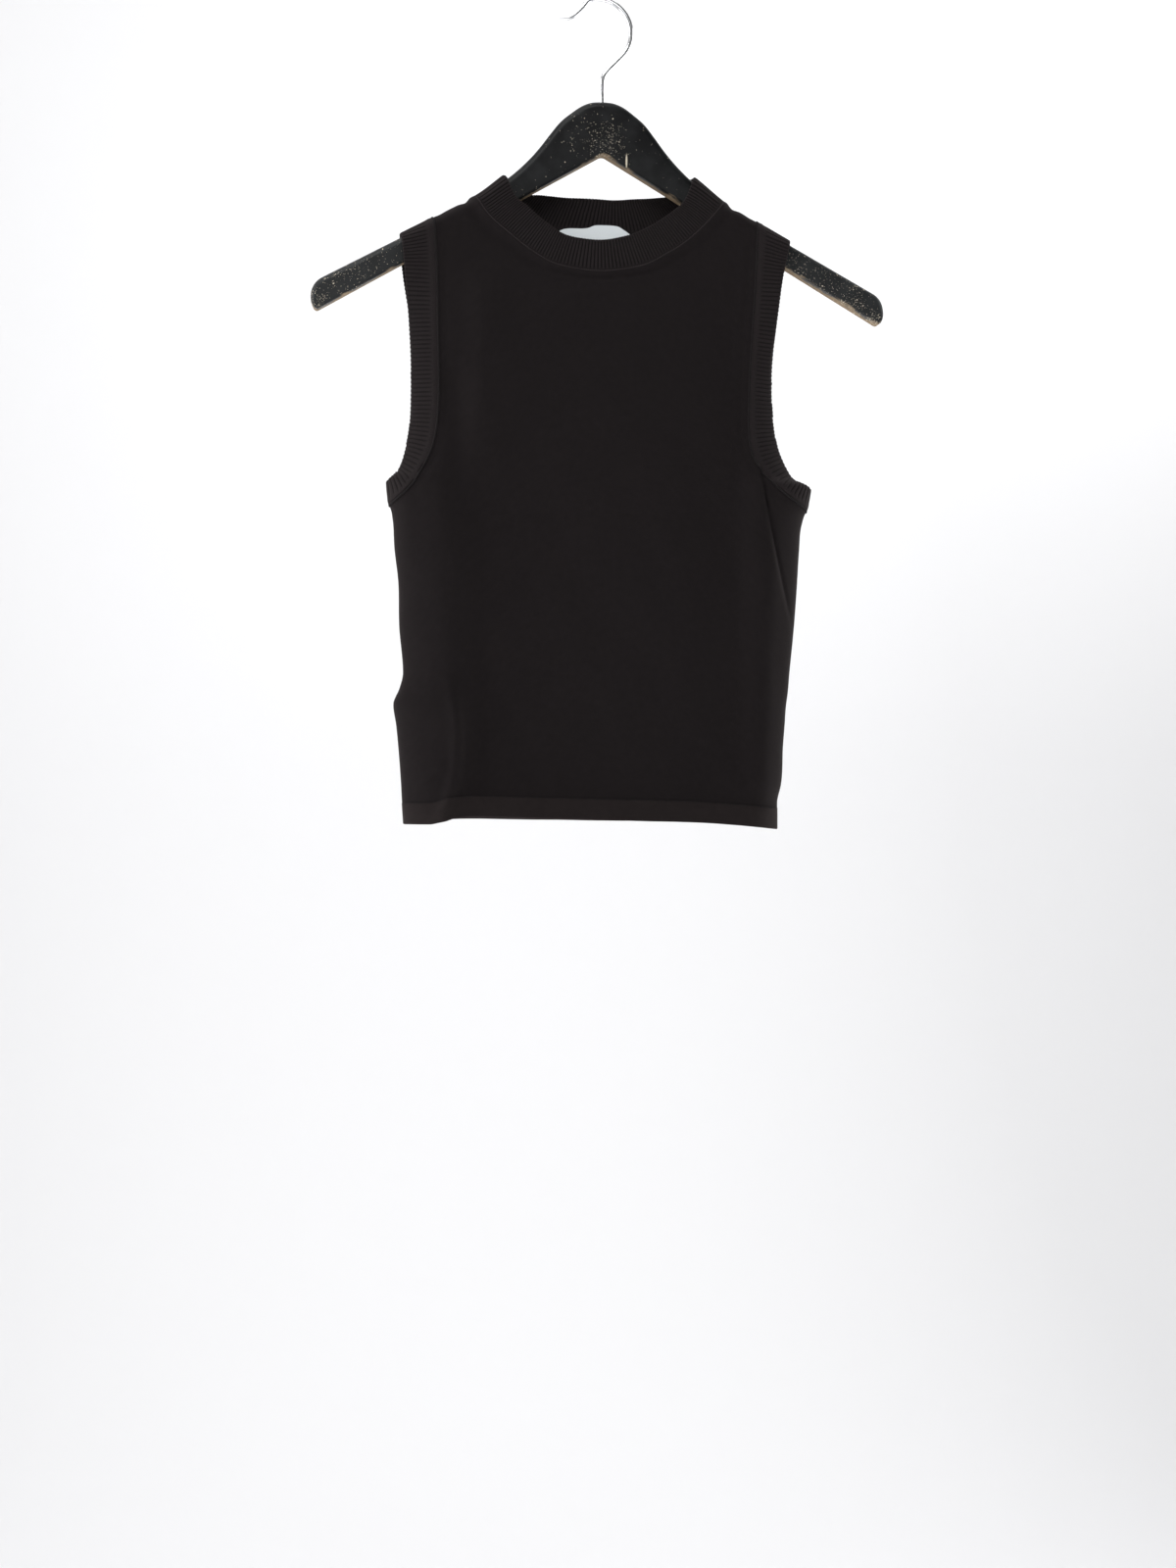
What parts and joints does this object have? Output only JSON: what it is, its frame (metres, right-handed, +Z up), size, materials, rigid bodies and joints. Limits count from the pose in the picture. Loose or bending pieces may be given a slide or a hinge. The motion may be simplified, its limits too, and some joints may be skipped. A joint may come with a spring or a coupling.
{
  "type": "sleeveless knit sweater on a wooden hanger",
  "caption": "Sleeveless fine-knit sweater with ribbed neck and armholes, hanging flat on a painted wooden hanger with a wire hook.",
  "frame": {"origin": "inner top of the wire hook, where a rail carries it", "axes": "+Z up, the garment's front faces -Y, +X to the right as seen from the front"},
  "size_m": [0.444, 0.0442, 0.6391],
  "materials": {
    "jersey": "fine-gauge plain knit, near-black brown, matt with a faint nap",
    "rib": "one-by-one rib knit, near-black brown, matt",
    "label_satin": "bare white satin ribbon",
    "hanger_paint": "black satin paint, chipped and worn to pale wood at the edges",
    "hook_steel": "plated steel wire"
  },
  "bodies": {
    "root": {"front_panel": "jersey", "back_panel": "jersey", "front_hem": "jersey", "back_hem": "jersey", "neckband": "rib", "armhole_band_left": "rib", "armhole_band_right": "rib", "neck_label": "label_satin", "hanger_body": "hanger_paint", "hook": "hook_steel"}
  },
  "joints": []
}
